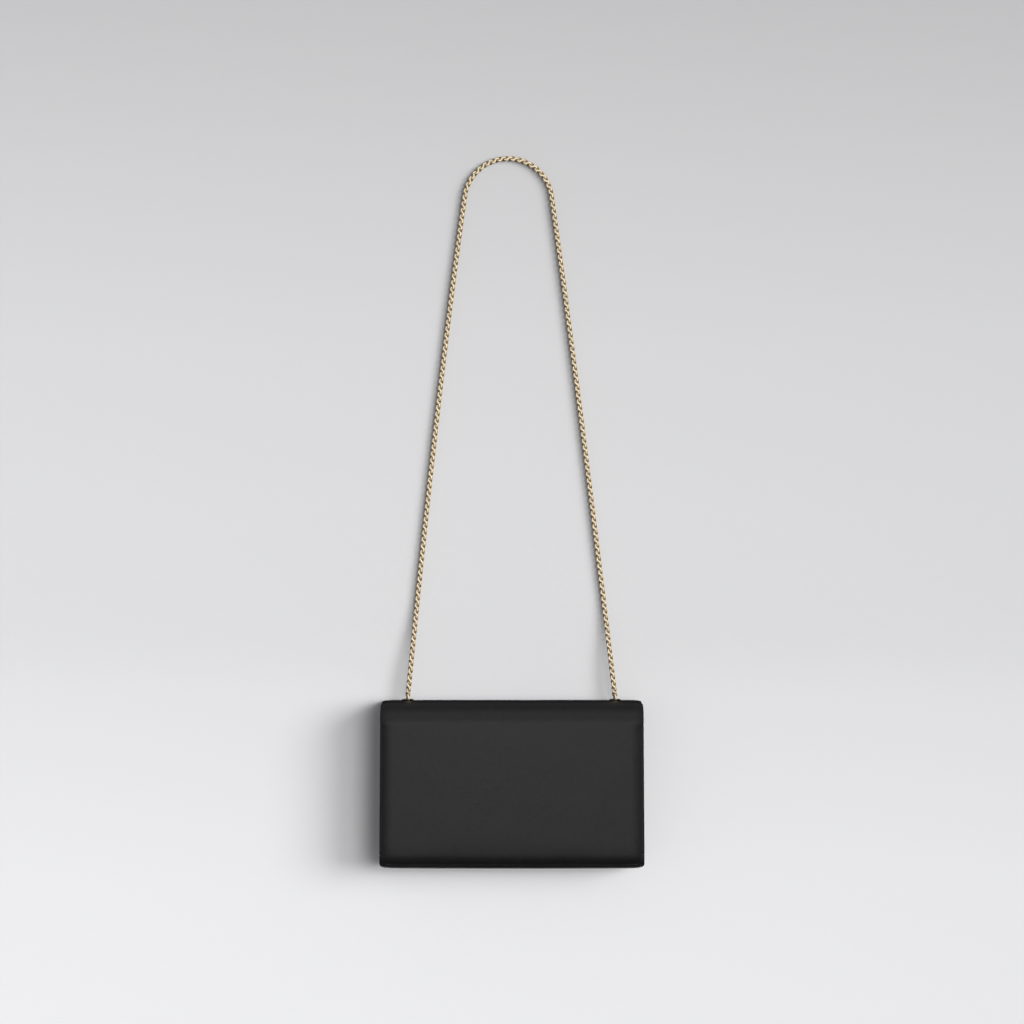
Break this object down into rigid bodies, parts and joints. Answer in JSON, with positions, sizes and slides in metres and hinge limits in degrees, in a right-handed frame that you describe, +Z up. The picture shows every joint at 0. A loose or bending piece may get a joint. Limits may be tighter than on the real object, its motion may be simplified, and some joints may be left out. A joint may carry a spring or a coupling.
{
  "type": "leather chain shoulder bag",
  "caption": "Small structured leather shoulder bag with a full-length hinged flap, hung from a curb chain strap that enters eyelets in its rear roof strip.",
  "frame": {"origin": "the point under the top of the chain's loop, where a peg, hook or hand carries the bag", "axes": "+Z up along the hanging chain, +X to the right seen from the front, the flap's face looks along -Y"},
  "size_m": [0.24, 0.05, 0.6556],
  "materials": {
    "black_leather": "fine pebbled grain, satin",
    "lining": "fine black twill",
    "stiffener": "plain sheet",
    "gold_chain": "pale gold plate, polished",
    "inner_hardware": "pale gold plate, polished",
    "dark_eyelet": "dark bronze plate",
    "magnet": "nickel plated disc"
  },
  "bodies": {
    "chain": {"chain_left_run": "gold_chain", "chain_arc": "gold_chain", "chain_right_run": "gold_chain"},
    "bag": {"inner_chain_left": "gold_chain", "inner_chain_right": "gold_chain", "d_ring_left": "inner_hardware", "d_ring_right": "inner_hardware", "chape_left": "black_leather", "chape_right": "black_leather", "rivet_left": "inner_hardware", "rivet_right": "inner_hardware", "eyelet_left": "dark_eyelet", "eyelet_right": "dark_eyelet", "eyelet_washer_left": "dark_eyelet", "eyelet_washer_right": "dark_eyelet", "back_panel": "black_leather", "front_panel": "black_leather", "base_panel": "black_leather", "gusset_left": "black_leather", "gusset_right": "black_leather", "back_board": "stiffener", "front_board": "stiffener", "base_board": "stiffener", "roof_stay": "stiffener", "body_lining": "lining", "gusset_lining_left": "lining", "gusset_lining_right": "lining", "slip_pocket": "lining", "body_magnet_left": "magnet", "body_magnet_right": "magnet"},
    "flap": {"flap_leather": "black_leather", "flap_lining": "lining", "flap_board": "stiffener", "flap_magnet_left": "magnet", "flap_magnet_right": "magnet"}
  },
  "joints": [
    {"name": "bag_swing", "type": "hinge", "parent": "chain", "child": "bag", "pos_m": [0.0031, 0, -0.4941], "axis": [1, 0, 0], "range_deg": [0, 90]},
    {"name": "flap_hinge", "type": "hinge", "parent": "bag", "child": "flap", "pos_m": [0.0031, -0.0085, -0.498], "axis": [-1, 0, 0], "range_deg": [0, 110]}
  ]
}
